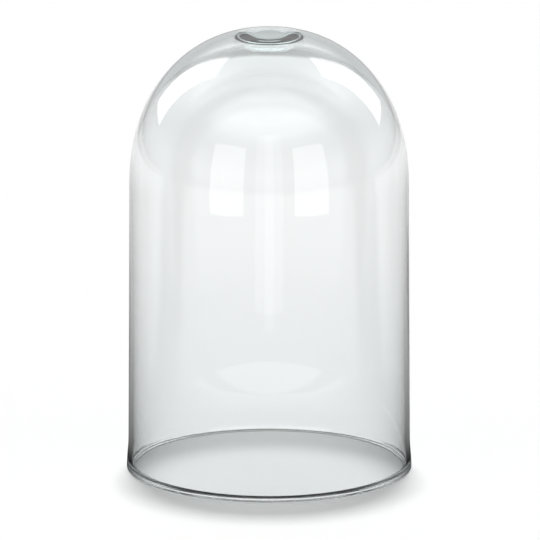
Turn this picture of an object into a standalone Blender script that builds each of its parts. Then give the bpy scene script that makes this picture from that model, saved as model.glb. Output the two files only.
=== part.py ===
"""Bell jar dome: the clear glass cover of a museum or shop display, blown in one piece.

A straight wall runs without a seam into a domed crown. The glass is thin at the shoulder, where it
was stretched most, and thick at the crown, where the gather was closed and left a shallow drop on
the inside. The rim flares a little into a thick rounded lip, and it stands on a ground seat.

The dome is turned from one section. The axis is +Z, and the origin is the centre of the seat.
"""

import math

import bpy

# Outer form, in metres
WALL_RADIUS = 0.100
DOME_HEIGHT = 0.316
SHOULDER_HEIGHT = 0.203
WALL_DRAFT = 0.0016  # how far the wall draws in between the rim and the shoulder
CROWN_ACROSS = 2.15  # exponent of the crown's outline across: above 2 is flatter on top than a ball
CROWN_UP = 2.2  # exponent up: above 2 leaves the straight wall more slowly than a ball does
FLARE = 0.0011
FLARE_HEIGHT = 0.022

# Thickness of the glass
LOWER_WALL = 0.0032
LOWER_WALL_HEIGHT = 0.060  # below this the wall keeps its full thickness
SHOULDER_WALL = 0.0021
CROWN_WALL = 0.0085
CROWN_GATHER = 2  # power of the sine by which the glass thickens from shoulder to crown
DROP_DEPTH = 0.0050  # the drop left inside the crown where the gather was closed
DROP_FLAT_RADIUS = 0.010
DROP_RADIUS = 0.026

# Rim
LIP_GAIN = 0.0030  # how much thicker than the wall the lip is
LIP_HEIGHT = 0.006
OUTER_CORNER = 0.0010
INNER_CORNER = 0.0014

# How finely the section is divided
TURN_STEPS = 64
CROWN_STEPS = 20
DROP_STEPS = 7
WALL_STEPS = 5
INNER_WALL_STEPS = 10
FLARE_STEPS = 6
ABOVE_LIP_STEPS = 3
CORNER_STEPS = 4

GLASS_COLOUR = (0.90, 0.94, 0.93, 1.0)
GLASS_ROUGHNESS = 0.02
GLASS_IOR = 1.5


def eased(share):
    """0 up to 1 along half a cosine, level at both ends."""
    share = min(max(share, 0.0), 1.0)
    return 0.5 - 0.5 * math.cos(math.pi * share)


def spread(start, end, steps):
    """steps + 1 values from start to end, both included."""
    return [start + (end - start) * i / steps for i in range(steps + 1)]


def wall_radius(height):
    drawn_in = WALL_DRAFT * height / SHOULDER_HEIGHT
    flared = FLARE * (1 - eased(height / FLARE_HEIGHT))
    return WALL_RADIUS - drawn_in + flared


def wall_thickness(height):
    thinning = eased((height - LOWER_WALL_HEIGHT) / (SHOULDER_HEIGHT - LOWER_WALL_HEIGHT))
    lip = LIP_GAIN * (1 - eased(height / LIP_HEIGHT))
    return LOWER_WALL + (SHOULDER_WALL - LOWER_WALL) * thinning + lip


def crown_point(rise):
    """Radius and height on the crown's outer face: rise is 0 at the shoulder and 90 degrees on the axis."""
    radius = wall_radius(SHOULDER_HEIGHT) * max(math.cos(rise), 0.0) ** (2 / CROWN_ACROSS)
    height = (DOME_HEIGHT - SHOULDER_HEIGHT) * math.sin(rise) ** (2 / CROWN_UP)
    return radius, SHOULDER_HEIGHT + height


def crown_normal(radius, height):
    """The outward direction of the crown's outer face at a point of it, as (outward, up)."""
    across = wall_radius(SHOULDER_HEIGHT)
    up = DOME_HEIGHT - SHOULDER_HEIGHT
    outward = CROWN_ACROSS / across * (radius / across) ** (CROWN_ACROSS - 1)
    upward = CROWN_UP / up * ((height - SHOULDER_HEIGHT) / up) ** (CROWN_UP - 1)
    length = math.hypot(outward, upward)
    return outward / length, upward / length


def crown_thickness(rise, radius):
    gathered = (CROWN_WALL - SHOULDER_WALL) * math.sin(rise) ** CROWN_GATHER
    fall = eased((DROP_RADIUS - radius) / (DROP_RADIUS - DROP_FLAT_RADIUS))
    return SHOULDER_WALL + gathered + DROP_DEPTH * fall


def inner_crown_point(rise):
    radius, height = crown_point(rise)
    outward, upward = crown_normal(radius, height)
    thickness = crown_thickness(rise, radius)
    return radius - thickness * outward, height - thickness * upward


def rise_at(radius):
    """The rise at which the crown's outer face has this radius."""
    return math.acos((radius / wall_radius(SHOULDER_HEIGHT)) ** (CROWN_ACROSS / 2))


def corner(centre_radius, centre_height, size, start, end):
    """Points of a rounded corner, from one angle to another in degrees."""
    return [
        (centre_radius + size * math.cos(angle), centre_height + size * math.sin(angle))
        for angle in spread(math.radians(start), math.radians(end), CORNER_STEPS)
    ]


def outer_side():
    """From the top of the crown down to the rim's outer corner."""
    crown = [crown_point(rise) for rise in spread(math.pi / 2, 0.0, CROWN_STEPS)]
    wall = spread(SHOULDER_HEIGHT, FLARE_HEIGHT, WALL_STEPS)[1:]
    flare = spread(FLARE_HEIGHT, OUTER_CORNER, FLARE_STEPS)[1:-1]
    return crown + [(wall_radius(height), height) for height in wall + flare]


def rim():
    """Round the outer corner, across the ground seat and up the inner corner."""
    outer_centre = wall_radius(OUTER_CORNER) - OUTER_CORNER
    inner_face = wall_radius(INNER_CORNER) - wall_thickness(INNER_CORNER)
    outer = corner(outer_centre, OUTER_CORNER, OUTER_CORNER, 0, -90)
    inner = corner(inner_face + INNER_CORNER, INNER_CORNER, INNER_CORNER, -90, -180)
    return outer + inner


def inner_side():
    """From the rim's inner corner up the bore and over to the drop on the axis."""
    lip = spread(INNER_CORNER, LIP_HEIGHT, FLARE_STEPS)[1:]
    flare = spread(LIP_HEIGHT, FLARE_HEIGHT, ABOVE_LIP_STEPS)[1:]
    wall = spread(FLARE_HEIGHT, SHOULDER_HEIGHT, INNER_WALL_STEPS)[1:-1]
    bore = [(wall_radius(z) - wall_thickness(z), z) for z in lip + flare + wall]
    drop_edge = rise_at(DROP_RADIUS)
    crown = [inner_crown_point(rise) for rise in spread(0.0, drop_edge, CROWN_STEPS)]
    drop_radii = spread(DROP_RADIUS, 0.0, DROP_STEPS)[1:]
    return bore + crown + [inner_crown_point(rise_at(radius)) for radius in drop_radii]


def turned(name, section):
    """A body of revolution: the section turned once round Z by a Screw modifier."""
    mesh = bpy.data.meshes.new(name)
    points = [(radius, 0.0, height) for radius, height in section]
    edges = [(i, i + 1) for i in range(len(points) - 1)]
    mesh.from_pydata(points, edges, [])
    body = bpy.data.objects.new(name, mesh)
    screw = body.modifiers.new("turn", "SCREW")
    screw.steps = TURN_STEPS
    screw.render_steps = TURN_STEPS
    screw.use_merge_vertices = True
    screw.merge_threshold = 0.00001
    screw.use_smooth_shade = True
    return body


def clear_glass():
    material = bpy.data.materials.new("clear glass")
    material.use_nodes = True
    shader = material.node_tree.nodes["Principled BSDF"]
    shader.inputs["Base Color"].default_value = GLASS_COLOUR
    shader.inputs["Roughness"].default_value = GLASS_ROUGHNESS
    shader.inputs["Metallic"].default_value = 0.0
    shader.inputs["IOR"].default_value = GLASS_IOR
    shader.inputs["Transmission Weight"].default_value = 1.0
    return material


def main():
    for leftover in list(bpy.data.objects):
        bpy.data.objects.remove(leftover, do_unlink=True)
    parts = bpy.data.collections.new("bell jar dome")
    bpy.context.scene.collection.children.link(parts)
    dome = turned("glass_dome", outer_side() + rim() + inner_side())
    dome.data.materials.append(clear_glass())
    parts.objects.link(dome)


main()
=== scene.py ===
# %% [markdown]
# # A glass bell jar
# A bell jar is one piece of blown glass: a straight round wall, a domed crown and a thick rim that
# stands on a plinth. It has no parts to join, so the whole look comes from two things: how thick the
# glass is at each height, and what stands round it to be reflected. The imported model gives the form
# in 64 flat-sided strips, which is enough for physics. Glass shows every flat, so here the same
# section is turned again, finely, and takes the place of that node.

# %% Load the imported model
import math

import bpy
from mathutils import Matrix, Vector


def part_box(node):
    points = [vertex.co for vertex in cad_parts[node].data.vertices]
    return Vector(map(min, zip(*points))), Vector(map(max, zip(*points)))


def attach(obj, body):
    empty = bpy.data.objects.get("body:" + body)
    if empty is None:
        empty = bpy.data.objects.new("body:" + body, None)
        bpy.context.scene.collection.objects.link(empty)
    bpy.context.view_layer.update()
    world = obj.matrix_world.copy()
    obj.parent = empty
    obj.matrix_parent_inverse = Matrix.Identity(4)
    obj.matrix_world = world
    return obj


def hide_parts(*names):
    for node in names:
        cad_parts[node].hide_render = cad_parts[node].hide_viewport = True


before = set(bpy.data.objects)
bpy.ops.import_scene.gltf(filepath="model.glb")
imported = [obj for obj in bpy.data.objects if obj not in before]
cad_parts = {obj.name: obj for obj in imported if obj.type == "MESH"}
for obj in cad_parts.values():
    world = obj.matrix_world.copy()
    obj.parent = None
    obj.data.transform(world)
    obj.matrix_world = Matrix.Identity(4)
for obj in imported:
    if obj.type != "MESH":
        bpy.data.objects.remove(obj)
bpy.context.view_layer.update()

low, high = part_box("glass_dome")
dome_height = high[2] - low[2]
rim_radius = (high[0] - low[0]) / 2
print(f"glass_dome is {dome_height * 1000:.1f} mm high and {rim_radius * 2000:.1f} mm across its rim")

# %% [markdown]
# ## Sums written as Python
# Both the dome's shape and its finish are worked out by nodes. A chain of Math nodes is hard to read,
# so a small class wraps a socket and gives it the usual operators: adding two wrapped sockets adds
# the Math node that does it. Any other node comes from one method that takes its type, its settings
# and what goes into its sockets.

# %% A socket that does arithmetic, and a graph that adds nodes
class Value:
    """A node's output that takes part in Python arithmetic, one Math node for each operator."""

    def __init__(self, graph, socket):
        self.graph = graph
        self.socket = socket

    def __getitem__(self, name):
        """Another output of the same node."""
        return Value(self.graph, self.socket.node.outputs[name])

    def __add__(self, other):
        return self.graph.maths("ADD", self, other)

    def __sub__(self, other):
        return self.graph.maths("SUBTRACT", self, other)

    def __mul__(self, other):
        return self.graph.maths("MULTIPLY", self, other)

    def __truediv__(self, other):
        return self.graph.maths("DIVIDE", self, other)

    def __pow__(self, other):
        return self.graph.maths("POWER", self, other)

    def __radd__(self, other):
        return self.graph.maths("ADD", other, self)

    def __rsub__(self, other):
        return self.graph.maths("SUBTRACT", other, self)

    def __rmul__(self, other):
        return self.graph.maths("MULTIPLY", other, self)

    def __rtruediv__(self, other):
        return self.graph.maths("DIVIDE", other, self)

    def at_least(self, other):
        return self.graph.maths("MAXIMUM", self, other)

    def at_most(self, other):
        return self.graph.maths("MINIMUM", self, other)

    def above(self, other):
        return self.graph.maths("GREATER_THAN", self, other)

    def unsigned(self):
        return self.graph.maths("ABSOLUTE", self)

    def cosine(self):
        return self.graph.maths("COSINE", self)

    def sine(self):
        return self.graph.maths("SINE", self)

    def eased(self, start=0.0, end=1.0):
        """0 at start up to 1 at end along half a cosine, level beyond both."""
        share = ((self - start) / (end - start)).at_least(0.0).at_most(1.0)
        return 0.5 - 0.5 * (share * math.pi).cosine()


class Graph:
    """Adds nodes to one node tree."""

    def __init__(self, tree):
        self.tree = tree

    def node(self, kind, settings=None, inputs=None):
        """A new node: its settings first, then its sockets, linked to a Value or set to a number."""
        node = self.tree.nodes.new(kind)
        for name, setting in (settings or {}).items():
            setattr(node, name, setting)
        for name, source in (inputs or {}).items():
            if isinstance(source, Value):
                self.tree.links.new(source.socket, node.inputs[name])
            else:
                node.inputs[name].default_value = source
        return Value(self, node.outputs[0]) if node.outputs else node

    def maths(self, operation, *operands):
        return self.node("ShaderNodeMath", {"operation": operation}, dict(enumerate(operands)))

    def point(self, x, y, z):
        return self.node("ShaderNodeCombineXYZ", inputs={"X": x, "Y": y, "Z": z})

    def parts(self, vector):
        split = self.node("ShaderNodeSeparateXYZ", inputs={0: vector})
        return split["X"], split["Y"], split["Z"]

    def levels(self, value, stops):
        """Straight from each stop's level to the next one's, and even beyond the first and the last."""
        places = sorted(stops)
        total = stops[places[0]]
        for start, end in zip(places, places[1:]):
            rise = stops[end] - stops[start]
            stretch = {"From Min": start, "From Max": end, "To Min": 0.0, "To Max": rise}
            total = self.node("ShaderNodeMapRange", inputs={"Value": value, **stretch}) + total
        return total


# %% [markdown]
# ## The section of the glass
# A blown dome is not even. The glass stretches most over the shoulder and is thinnest there. It stays
# thick on the crown, where the gather was closed, and a shallow drop of it hangs on the inside. At
# the other end the rim is thickened into a lip, opened out a little and rounded by the flame, and
# then ground flat underneath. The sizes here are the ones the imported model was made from.

# %% The sizes of the section, in metres
SHOULDER_SHARE = 0.203 / 0.316
SIZES = {
    "Height": dome_height,
    "Wall Radius": 0.100,
    "Shoulder Height": dome_height * SHOULDER_SHARE,
    "Draft": 0.0016,
    "Crown Across": 2.15,
    "Crown Up": 2.2,
    "Flare": 0.0011,
    "Flare Height": 0.022,
    "Lower Wall": 0.0032,
    "Lower Wall Height": 0.060,
    "Shoulder Wall": 0.0021,
    "Crown Wall": 0.0085,
    "Gather": 2.0,
    "Drop Depth": 0.0050,
    "Drop Flat Radius": 0.010,
    "Drop Radius": 0.026,
    "Lip Gain": 0.0030,
    "Lip Height": 0.006,
    "Outer Corner": 0.0010,
    "Inner Corner": 0.0014,
}
TURN_STEPS = 336
MERGE = 0.000001
# powers that crowd the rows of a stretch towards one end of it
RIM_CROWDING = 2
DROP_CROWDING = 1.35
print(f"{len(SIZES)} sizes drive the section")

# %% [markdown]
# ## Turning the section
# A lathe shape can be made by spinning a curve. Here Geometry Nodes bend flat grids instead: each
# grid is one stretch of the section, with its columns going round the axis, and a rule gives the
# radius and height of each row. So every stretch gets as many rows as its curve needs, and a change
# to one named input reshapes the dome. The grids are then joined and their edges merged.

# %% The rules that give radius and height
class Section:
    """The radius and height of each stretch of the glass, as sums on the tree's inputs."""

    def __init__(self, size):
        self.size = size

    def wall_radius(self, height):
        size = self.size
        drawn_in = size["Draft"] * height / size["Shoulder Height"]
        flared = size["Flare"] * (1 - height.eased(0.0, size["Flare Height"]))
        return size["Wall Radius"] - drawn_in + flared

    def wall_thickness(self, height):
        size = self.size
        thinning = height.eased(size["Lower Wall Height"], size["Shoulder Height"])
        lip = size["Lip Gain"] * (1 - height.eased(0.0, size["Lip Height"]))
        return size["Lower Wall"] + (size["Shoulder Wall"] - size["Lower Wall"]) * thinning + lip

    def crown_point(self, rise):
        """rise is 0 at the shoulder and a quarter turn on the axis."""
        size = self.size
        across = rise.cosine().at_least(0.0) ** (2 / size["Crown Across"])
        up = rise.sine().at_least(0.0) ** (2 / size["Crown Up"])
        height = size["Shoulder Height"] + (size["Height"] - size["Shoulder Height"]) * up
        return self.wall_radius(size["Shoulder Height"]) * across, height

    def inner_crown_point(self, rise):
        """The same, moved in along the outer face's normal by the thickness of the glass."""
        size = self.size
        radius, height = self.crown_point(rise)
        reach = self.wall_radius(size["Shoulder Height"])
        top = size["Height"] - size["Shoulder Height"]
        outward = size["Crown Across"] / reach * (radius / reach) ** (size["Crown Across"] - 1)
        above = ((height - size["Shoulder Height"]) / top).at_least(0.0)
        upward = size["Crown Up"] / top * above ** (size["Crown Up"] - 1)
        length = (outward * outward + upward * upward) ** 0.5
        gathered = (size["Crown Wall"] - size["Shoulder Wall"]) * rise.sine() ** size["Gather"]
        drop = size["Drop Depth"] * (1 - radius.eased(size["Drop Flat Radius"], size["Drop Radius"]))
        thickness = (size["Shoulder Wall"] + gathered + drop) / length
        return radius - thickness * outward, height - thickness * upward

    def outer_crown(self, along):
        return self.crown_point((1 - along) * (math.pi / 2))

    def outer_wall(self, along):
        """From the shoulder down, with its rows crowded towards the rim."""
        size = self.size
        reach = size["Shoulder Height"] - size["Outer Corner"]
        height = size["Outer Corner"] + reach * (1 - along) ** RIM_CROWDING
        return self.wall_radius(height), height

    def outer_corner(self, along):
        corner = self.size["Outer Corner"]
        angle = along * (-math.pi / 2)
        centre = self.wall_radius(corner) - corner
        return centre + corner * angle.cosine(), corner + corner * angle.sine()

    def seat(self, along):
        outer, inner = self.size["Outer Corner"], self.size["Inner Corner"]
        start = self.wall_radius(outer) - outer
        end = self.wall_radius(inner) - self.wall_thickness(inner) + inner
        return start + (end - start) * along, along * 0.0

    def inner_corner(self, along):
        corner = self.size["Inner Corner"]
        angle = (along + 1) * (-math.pi / 2)
        centre = self.wall_radius(corner) - self.wall_thickness(corner) + corner
        return centre + corner * angle.cosine(), corner + corner * angle.sine()

    def inner_wall(self, along):
        """From the rim up, with its rows crowded towards the rim."""
        size = self.size
        reach = size["Shoulder Height"] - size["Inner Corner"]
        height = size["Inner Corner"] + reach * along**RIM_CROWDING
        return self.wall_radius(height) - self.wall_thickness(height), height

    def inner_crown(self, along):
        """From the shoulder to the axis, with its rows crowded towards the drop."""
        return self.inner_crown_point((1 - (1 - along) ** DROP_CROWDING) * (math.pi / 2))


STRETCHES = {
    "outer_crown": 64,
    "outer_wall": 40,
    "outer_corner": 8,
    "seat": 1,
    "inner_corner": 8,
    "inner_wall": 44,
    "inner_crown": 100,
}
print(f"{sum(STRETCHES.values())} rows in {len(STRETCHES)} stretches")


# %% The tree that turns the stretches round the axis
def dome_tree():
    tree = bpy.data.node_groups.new("turned glass", "GeometryNodeTree")
    tree.is_modifier = True
    tree.interface.new_socket("Geometry", in_out="OUTPUT", socket_type="NodeSocketGeometry")
    for name in SIZES:
        tree.interface.new_socket(name, in_out="INPUT", socket_type="NodeSocketFloat")
    tree.interface.new_socket("Turn Steps", in_out="INPUT", socket_type="NodeSocketInt")
    tree.interface.new_socket("Glass", in_out="INPUT", socket_type="NodeSocketMaterial")
    graph = Graph(tree)
    size = graph.node("NodeGroupInput")
    section = Section(size)
    joined = graph.node("GeometryNodeJoinGeometry")
    for name, rows in STRETCHES.items():
        flat = graph.node(
            "GeometryNodeMeshGrid",
            inputs={"Vertices X": rows + 1, "Vertices Y": size["Turn Steps"] + 1},
        )
        along, turn, _ = graph.parts(flat["UV Map"])
        radius, height = getattr(section, name)(along)
        angle = turn * (2 * math.pi)
        place = graph.point(radius * angle.cosine(), radius * angle.sine(), height)
        bent = graph.node("GeometryNodeSetPosition", inputs={"Geometry": flat, "Position": place})
        tree.links.new(bent.socket, joined.socket.node.inputs[0])
    merged = graph.node("GeometryNodeMergeByDistance", inputs={"Geometry": joined, "Distance": MERGE})
    smooth = graph.node("GeometryNodeSetShadeSmooth", inputs={"Geometry": merged})
    real = graph.node("GeometryNodeRealizeInstances", inputs={"Geometry": smooth})
    glazed = {"Geometry": real, "Material": size["Glass"]}
    dressed = graph.node("GeometryNodeSetMaterial", inputs=glazed)
    graph.node("NodeGroupOutput", inputs={"Geometry": dressed})
    return tree


turned_glass = dome_tree()
print(f"the tree holds {len(turned_glass.nodes)} nodes")

# %% [markdown]
# ## Clear glass
# Clear glass has hardly any colour of its own. What is seen is the room: bent through it, and
# reflected by it. A Principled shader with full transmission does both, and a Volume Absorption gives
# the faint green-grey that iron leaves, which only tells where light runs a long way inside the
# glass, as along the rim. Hand-made glass is also never quite true, so a weak bump, drawn out along
# the wall as the bubble was, lets the reflections waver, and handling leaves it a very little less
# shiny in places. The seat is ground, so it is matt.
# Lamps can't find their way through bent glass, so for their shadow rays, and for light that the
# floor scatters, the glass is see-through by the share that it would let pass.

# %% The glass
GLASS_IOR = 1.5
ABSORBED = (0.92, 0.94, 0.94, 1.0)
ABSORB_DENSITY = 130.0
PASSED_HEAD_ON = 0.90
GRAZING_POWER = 5.0
CLEAR_TINT = (0.985, 0.99, 0.99, 1.0)
SEAT_MATT = 0.35
SEAT_HEIGHT = 0.0001
WAVER_DEPTH = 0.00005
WAVER_SCALE = 55.0
WAVER_DRAWN_OUT = (1.0, 1.0, 0.14)
HANDLED_SCALE = 14.0
HANDLED_FROM = 0.45
HANDLED_MATT = 0.05


def clear_glass():
    material = bpy.data.materials.new("clear glass")
    material.use_nodes = True
    material.node_tree.nodes.clear()
    graph = Graph(material.node_tree)
    place = graph.node("ShaderNodeTexCoord")["Object"]
    drawn_out = graph.node("ShaderNodeMapping", inputs={"Vector": place, "Scale": WAVER_DRAWN_OUT})
    waver = graph.node(
        "ShaderNodeTexNoise",
        inputs={"Vector": drawn_out, "Scale": WAVER_SCALE, "Detail": 1.5, "Roughness": 0.4},
    )
    cloudy = graph.node(
        "ShaderNodeTexNoise",
        inputs={"Vector": place, "Scale": HANDLED_SCALE, "Detail": 3.0},
    )
    height = graph.parts(place)[2]
    seat = 1 - height.eased(SEAT_HEIGHT / 2, SEAT_HEIGHT)
    bump = graph.node(
        "ShaderNodeBump",
        inputs={"Height": waver, "Strength": 1.0, "Distance": WAVER_DEPTH},
    )
    handled = (cloudy - HANDLED_FROM).at_least(0.0) * HANDLED_MATT
    glass = graph.node(
        "ShaderNodeBsdfPrincipled",
        inputs={
            "Base Color": CLEAR_TINT,
            "Roughness": (handled + seat * SEAT_MATT).at_most(1.0),
            "IOR": GLASS_IOR,
            "Transmission Weight": 1.0,
            "Normal": bump,
        },
    )
    ray = graph.node("ShaderNodeLightPath")
    facing = graph.node("ShaderNodeLayerWeight", inputs={"Blend": 0.5})["Facing"]
    passed = PASSED_HEAD_ON * (1 - facing**GRAZING_POWER)
    lit_through = ray["Is Shadow Ray"].at_least(ray["Is Diffuse Ray"]) * passed
    see_through = graph.node("ShaderNodeBsdfTransparent")
    both = graph.node("ShaderNodeMixShader", inputs={0: lit_through, 1: glass, 2: see_through})
    tint = {"Color": ABSORBED, "Density": ABSORB_DENSITY}
    body = graph.node("ShaderNodeVolumeAbsorption", inputs=tint)
    graph.node("ShaderNodeOutputMaterial", inputs={"Surface": both, "Volume": body})
    return material


glass_material = clear_glass()
print(f"the glass bends light by {GLASS_IOR} and has {len(glass_material.node_tree.nodes)} nodes")

# %% Turn the dome into a plain mesh
def turned_dome(tree, material):
    carrier = bpy.data.objects.new("dome_carrier", bpy.data.meshes.new("dome_carrier"))
    bpy.context.scene.collection.objects.link(carrier)
    turning = carrier.modifiers.new("turning", "NODES")
    turning.node_group = tree
    given = {**SIZES, "Turn Steps": TURN_STEPS, "Glass": material}
    for socket in tree.interface.items_tree:
        if socket.in_out == "INPUT":
            turning[socket.identifier] = given[socket.name]
    evaluated = carrier.evaluated_get(bpy.context.evaluated_depsgraph_get())
    mesh = bpy.data.meshes.new_from_object(evaluated)
    mesh.name = "clear_dome"
    bpy.data.objects.remove(carrier, do_unlink=True)
    dome = bpy.data.objects.new("clear_dome", mesh)
    bpy.context.scene.collection.objects.link(dome)
    return dome


dome = turned_dome(turned_glass, glass_material)
triangles = sum(len(face.vertices) - 2 for face in dome.data.polygons)
tallest = max(vertex.co.z for vertex in dome.data.vertices)
widest = max(vertex.co.xy.length for vertex in dome.data.vertices)
print(f"{triangles} triangles, {tallest * 1000:.2f} mm high, {widest * 2000:.2f} mm across")

# %% [markdown]
# ## The table it stands on
# A plain white top. Clear glass on white would hardly show, so a studio stands dark cards round it,
# just out of view: the glass finds them along its edges and draws them as fine lines. Here there are no
# cards: a painted reflection on the table and darker stretches of the room's light take their place. A
# ray that the glass has mirrored, outside or inside its wall, finds the table glowing with this painted
# reflection: painted shade close to the rim, white further out, and painted darker to each side. Any
# other ray finds it white.

# %% The table top
TABLE_HALF = 6.0
TABLE_GAP = 0.0003
TABLE_WHITE = (0.9, 0.9, 0.9, 1.0)
TABLE_ROUGHNESS = 0.85
GRAIN_SCALE = 900.0
GRAIN_MATT = 0.1
# how far behind the dome a direction points: -1 straight to the front, 0 to the side, 1 to the back
BEHIND_FROM = 0.0
BEHIND_AT = 0.6
# darker to each side: painted shade in the table's painted reflection, a dark card in the room's light
SIDE_DARK_AT = -0.1
SIDE_DARK_HALF = 0.12
SIDE_DARK_EDGE = 0.30
SIDE_DARKENING = 0.85
# more than this many bounces is one or more
ONE_BOUNCE = 0.5
# distance from the axis in metres: brightness of the painted reflection on the table that mirrored rays
# find, painted dark close to the rim
PAINTED_REFLECTION_IN_FRONT = {0.085: 0.8, 0.092: 0.03, 0.32: 0.03, 0.42: 0.45, 0.75: 1.0}
PAINTED_REFLECTION_BEHIND = {0.03: 0.5, 0.07: 0.03, 0.11: 0.03, 0.14: 0.2, 0.5: 0.55, 1.2: 0.8, 2.0: 1.0}


def mirrored(graph):
    """1 for a ray that has been mirrored on its way, 0 for any other."""
    return graph.node("ShaderNodeLightPath")["Glossy Depth"].above(ONE_BOUNCE)


def front_to_back(front, back, behind):
    """The front's brightness turning into the back's, darker to each side: painted shade on the table, a
    dark card in the room's light.
    """
    even = front + (back - front) * behind.eased(BEHIND_FROM, BEHIND_AT)
    off_side_dark = (behind - SIDE_DARK_AT).unsigned().eased(SIDE_DARK_HALF, SIDE_DARK_EDGE)
    return even * (1 - SIDE_DARKENING * (1 - off_side_dark))


def white_table_with_painted_reflection():
    material = bpy.data.materials.new("white table with painted reflection")
    material.use_nodes = True
    material.node_tree.nodes.clear()
    graph = Graph(material.node_tree)
    place = graph.node("ShaderNodeTexCoord")["Object"]
    x, y, _ = graph.parts(place)
    away = (x * x + y * y) ** 0.5
    grain = graph.node(
        "ShaderNodeTexNoise",
        inputs={"Vector": place, "Scale": GRAIN_SCALE, "Detail": 2.0},
    )
    roughness = TABLE_ROUGHNESS + grain * GRAIN_MATT
    white = graph.node(
        "ShaderNodeBsdfPrincipled",
        inputs={"Base Color": TABLE_WHITE, "Roughness": roughness, "Specular IOR Level": 0.0},
    )
    # the painted reflection: an emission that only mirrored rays see, with painted shade close to the
    # rim and to each side and white further out
    front = graph.levels(away, PAINTED_REFLECTION_IN_FRONT)
    back = graph.levels(away, PAINTED_REFLECTION_BEHIND)
    painted_reflection_level = front_to_back(front, back, y / away)
    painted_reflection = graph.node("ShaderNodeEmission", inputs={"Color": graph.point(painted_reflection_level, painted_reflection_level, painted_reflection_level)})
    both = graph.node("ShaderNodeMixShader", inputs={0: mirrored(graph), 1: white, 2: painted_reflection})
    graph.node("ShaderNodeOutputMaterial", inputs={"Surface": both})
    return material


def table_top():
    level = low[2] - TABLE_GAP
    corners = [(-1, -1), (1, -1), (1, 1), (-1, 1)]
    mesh = bpy.data.meshes.new("table_top")
    mesh.from_pydata([(TABLE_HALF * x, TABLE_HALF * y, level) for x, y in corners], [], [(0, 1, 2, 3)])
    mesh.materials.append(white_table_with_painted_reflection())
    top = bpy.data.objects.new("table_top", mesh)
    bpy.context.scene.collection.objects.link(top)
    return top


table = table_top()
print(f"the table top lies {TABLE_GAP * 1000:.1f} mm under the seat, so that the two don't flicker")

# %% [markdown]
# ## The room
# The table gets an even soft light from the room. What the glass shows of the room is set by height,
# in degrees above the table. Straight through the glass it is pale low down, and nearly black higher
# up, which darkens the edges where the glass bends most. Mirrored by the glass it is grey low down in
# front, then a dark card, then a bright ceiling; behind, it is a paler wall that grows brighter upwards.

# %% The room
ROOM_LIGHT = 0.45
# degrees above the table: brightness
SEEN_THROUGH = {5.0: 1.0, 7.0: 0.35, 12.0: 0.05}
ROOM_IN_FRONT = {0.0: 0.3, 10.0: 0.5, 15.0: 0.15, 30.0: 0.15, 44.0: 2.6, 62.0: 2.6, 80.0: 1.2}
ROOM_BEHIND = {0.0: 0.4, 5.0: 0.7, 20.0: 0.7, 34.0: 1.6, 50.0: 1.6, 75.0: 1.1}


def by_height(degrees):
    """Stops set by degrees above the table, as stops set by the upward part of a direction."""
    return {math.sin(math.radians(angle)): level for angle, level in degrees.items()}


def pale_room():
    world = bpy.data.worlds.new("pale room")
    world.use_nodes = True
    world.cycles.sampling_method = "NONE"
    world.node_tree.nodes.clear()
    graph = Graph(world.node_tree)
    _, behind, up = graph.parts(graph.node("ShaderNodeTexCoord")["Generated"])
    scattered = graph.node("ShaderNodeLightPath")["Diffuse Depth"].above(ONE_BOUNCE)
    front = graph.levels(up, by_height(ROOM_IN_FRONT))
    back = graph.levels(up, by_height(ROOM_BEHIND))
    through = graph.levels(up, by_height(SEEN_THROUGH))
    seen = through + (front_to_back(front, back, behind) - through) * mirrored(graph)
    strength = seen + (ROOM_LIGHT - seen) * scattered
    grey = graph.point(strength, strength, strength)
    room = graph.node("ShaderNodeBackground", inputs={"Color": grey})
    graph.node("ShaderNodeOutputWorld", inputs={"Surface": room})
    return world


bpy.context.scene.world = pale_room()
print(f"the room gives {ROOM_LIGHT:.2f} of full white to the table")

# %% [markdown]
# ## The lights
# One lamp overhead, a little behind, gives the soft shadow in front of the rim. The rest are softboxes
# that only the glass sees: two stand near in front as windows on the shoulder, with a dim sheet and a
# narrow strip between them, and one stands high behind each side.

# %% The overhead lamp
KEY_ELEVATION = 78
KEY_ANGLE = 9
KEY_STRENGTH = 2.12


def aimed(thing, place, target):
    thing.location = place
    thing.rotation_euler = (Vector(target) - Vector(place)).to_track_quat("-Z", "Y").to_euler()


def overhead_lamp():
    lamp = bpy.data.lights.new("overhead_lamp", "SUN")
    lamp.angle = math.radians(KEY_ANGLE)
    lamp.energy = KEY_STRENGTH
    stand = bpy.data.objects.new("overhead_lamp", lamp)
    bpy.context.scene.collection.objects.link(stand)
    slope = math.radians(KEY_ELEVATION)
    aimed(stand, (0.0, math.cos(slope), math.sin(slope)), (0.0, 0.0, 0.0))
    stand.visible_glossy = False
    stand.visible_transmission = False


overhead_lamp()
print(f"the lamp stands {KEY_ELEVATION} degrees up, behind the dome")

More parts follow.
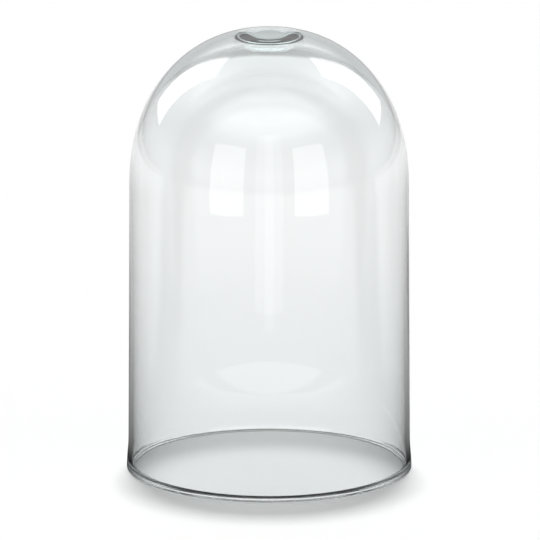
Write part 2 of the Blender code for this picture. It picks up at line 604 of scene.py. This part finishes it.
# %% The softboxes that the glass mirrors
# name: direction round the dome from the camera (degrees), distance and height of its middle,
# height on the axis that it is turned to, its width and height, brightness
SOFTBOXES = {
    "left_window": (-33.5, 0.90, 0.33, 0.33, 0.44, 0.60, 2.2),
    "right_window": (33.5, 0.90, 0.33, 0.33, 0.44, 0.60, 2.2),
    "front_sheet": (0.0, 0.60, 0.32, 0.32, 0.22, 0.60, 0.8),
    "front_strip": (0.0, 0.58, 0.30, 0.30, 0.07, 0.58, 0.7),
    "left_behind": (-126.0, 0.90, 0.85, 0.25, 0.44, 0.90, 3.0),
    "right_behind": (126.0, 0.90, 0.85, 0.25, 0.44, 0.90, 3.0),
}


def softbox(name, around, distance, middle, faces, width, height, brightness):
    lamp = bpy.data.lights.new(name, "AREA")
    lamp.shape = "RECTANGLE"
    lamp.size = width
    lamp.size_y = height
    lamp.energy = brightness * math.pi * width * height
    box = bpy.data.objects.new(name, lamp)
    bpy.context.scene.collection.objects.link(box)
    turn = math.radians(around)
    aimed(box, (distance * math.sin(turn), -distance * math.cos(turn), middle), (0.0, 0.0, faces))
    box.visible_camera = False
    box.visible_transmission = False
    box.visible_diffuse = False


for name, place in SOFTBOXES.items():
    softbox(name, *place)
print(f"{len(SOFTBOXES)} softboxes")

# %% [markdown]
# ## The camera
# A long lens from five metres away keeps the wall's two sides nearly parallel, and from thirteen
# degrees up the rim shows as a flat oval.

# %% The camera
CAMERA_ELEVATION = 13.4
CAMERA_DISTANCE = 5.0
CAMERA_SENSOR = 36.0
VIEW_WIDTH = 0.3812
AIM_HEIGHT = 0.1426
AIM_ACROSS = 0.0006


def camera():
    lens = bpy.data.cameras.new("camera")
    lens.sensor_width = CAMERA_SENSOR
    lens.lens = CAMERA_SENSOR * CAMERA_DISTANCE / VIEW_WIDTH
    eye = bpy.data.objects.new("camera", lens)
    bpy.context.scene.collection.objects.link(eye)
    slope = math.radians(CAMERA_ELEVATION)
    aim = Vector((AIM_ACROSS, 0.0, AIM_HEIGHT))
    aimed(eye, aim + CAMERA_DISTANCE * Vector((0.0, -math.cos(slope), math.sin(slope))), aim)
    bpy.context.scene.camera = eye


camera()
bpy.context.scene.view_settings.view_transform = "Standard"
print(f"a {bpy.context.scene.camera.data.lens:.0f} mm lens")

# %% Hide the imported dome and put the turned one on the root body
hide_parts("glass_dome")
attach(dome, "root")
